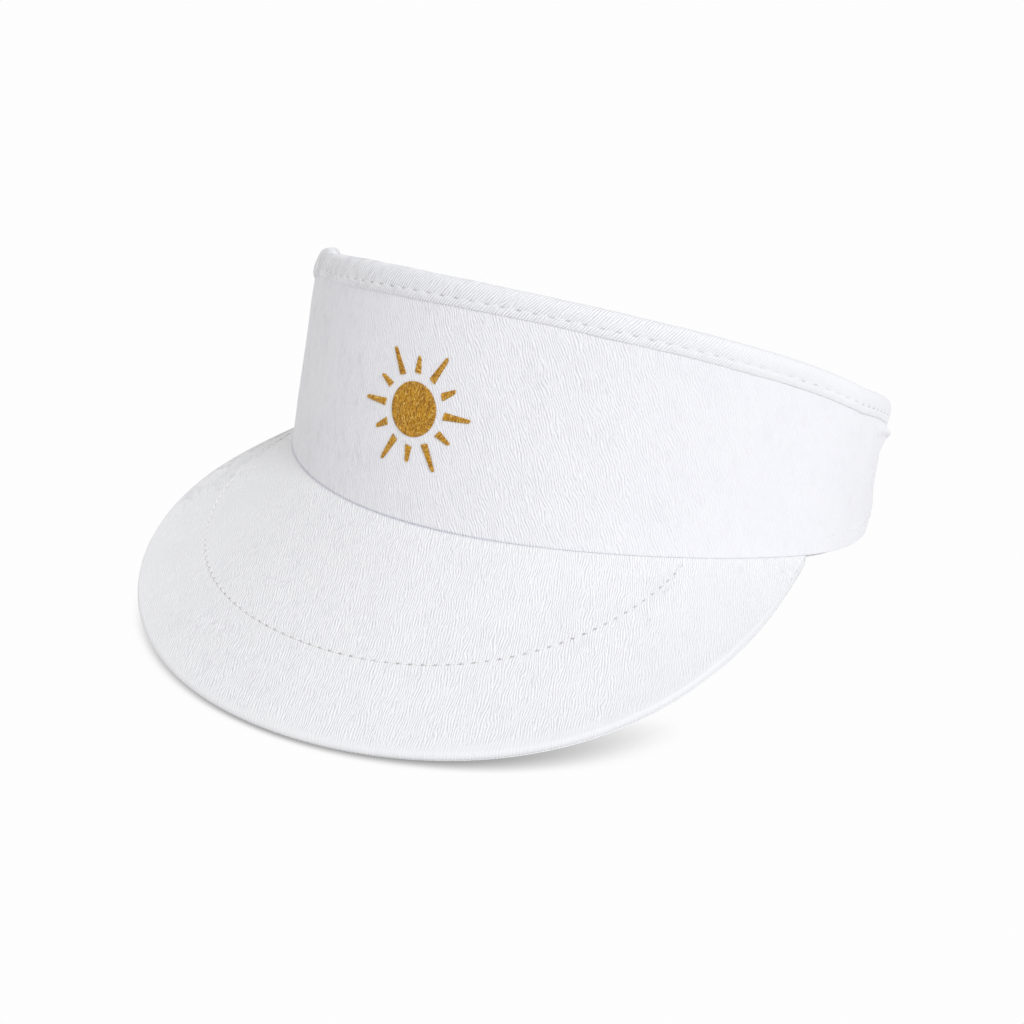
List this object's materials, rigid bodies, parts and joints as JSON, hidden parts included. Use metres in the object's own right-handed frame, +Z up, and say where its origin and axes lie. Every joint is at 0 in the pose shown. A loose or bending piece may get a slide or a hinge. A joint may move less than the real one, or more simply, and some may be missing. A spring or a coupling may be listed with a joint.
{
  "type": "sun visor",
  "caption": "Open-crown sun visor: crinkled fabric band with bound top edge, drooping covered brim, sweatband and an adjustable hook-and-loop strap at the back.",
  "frame": {"origin": "centre of the box's bottom face; the plane z = 0 is the table the visor rests on, on its brim rim and rear strap", "axes": "+Z up from the table, -Y towards the brim's front, +X towards the wearer's left; the band's own axis is tipped back 13.6 degrees from +Z towards +Y"},
  "size_m": [0.1966, 0.2478, 0.105],
  "materials": {
    "shell_fabric": "matte cotton crepe with a vertical crinkle",
    "binding_fabric": "matte twill bias tape",
    "lining_fabric": "plain matte weave",
    "interlining": "stiff non-woven",
    "terry": "looped towelling",
    "brim_board": "smooth matt sheet",
    "white_thread": "semi-matt polyester thread",
    "brim_thread": "semi-matt thread",
    "gold_thread": "lustrous rayon thread",
    "strap_webbing": "ribbed woven strap",
    "loop_pile": "napped loop pile",
    "hook_tape": "moulded hooks on a woven ground",
    "label_satin": "blank woven satin"
  },
  "bodies": {
    "visor": {"band_shell": "shell_fabric", "band_interlining": "interlining", "band_lining": "lining_fabric", "sweatband": "terry", "top_binding": "binding_fabric", "binding_stitching": "white_thread", "hem_stitching": "white_thread", "sweatband_stitching": "white_thread", "end_fold_left": "shell_fabric", "end_fold_right": "shell_fabric", "bar_tacks": "white_thread", "brim_top_cover": "shell_fabric", "brim_board": "brim_board", "brim_under_cover": "shell_fabric", "brim_stitching": "brim_thread", "motif_disc": "gold_thread", "motif_rays": "gold_thread", "embroidery_backing": "interlining", "loop_strap": "strap_webbing", "loop_tape": "loop_pile", "loop_tape_stitching": "white_thread", "strap_anchor_stitching": "white_thread", "care_label": "label_satin"},
    "hook_strap": {"hook_strap_root": "strap_webbing"},
    "strap_tab": {"hook_strap_tab": "strap_webbing", "hook_tape": "hook_tape", "hook_tape_stitching": "white_thread"}
  },
  "joints": [
    {"name": "closure_adjust", "type": "hinge", "parent": "visor", "child": "hook_strap", "pos_m": [0, 0.02542, 0.03374], "axis": [0, 0.2351, 0.972], "range_deg": [-6, 14]},
    {"name": "tab_peel", "type": "hinge", "parent": "hook_strap", "child": "strap_tab", "pos_m": [-0.04006, 0.11288, 0.01259], "axis": [0, 0.2351, 0.972], "range_deg": [0, 75]}
  ]
}
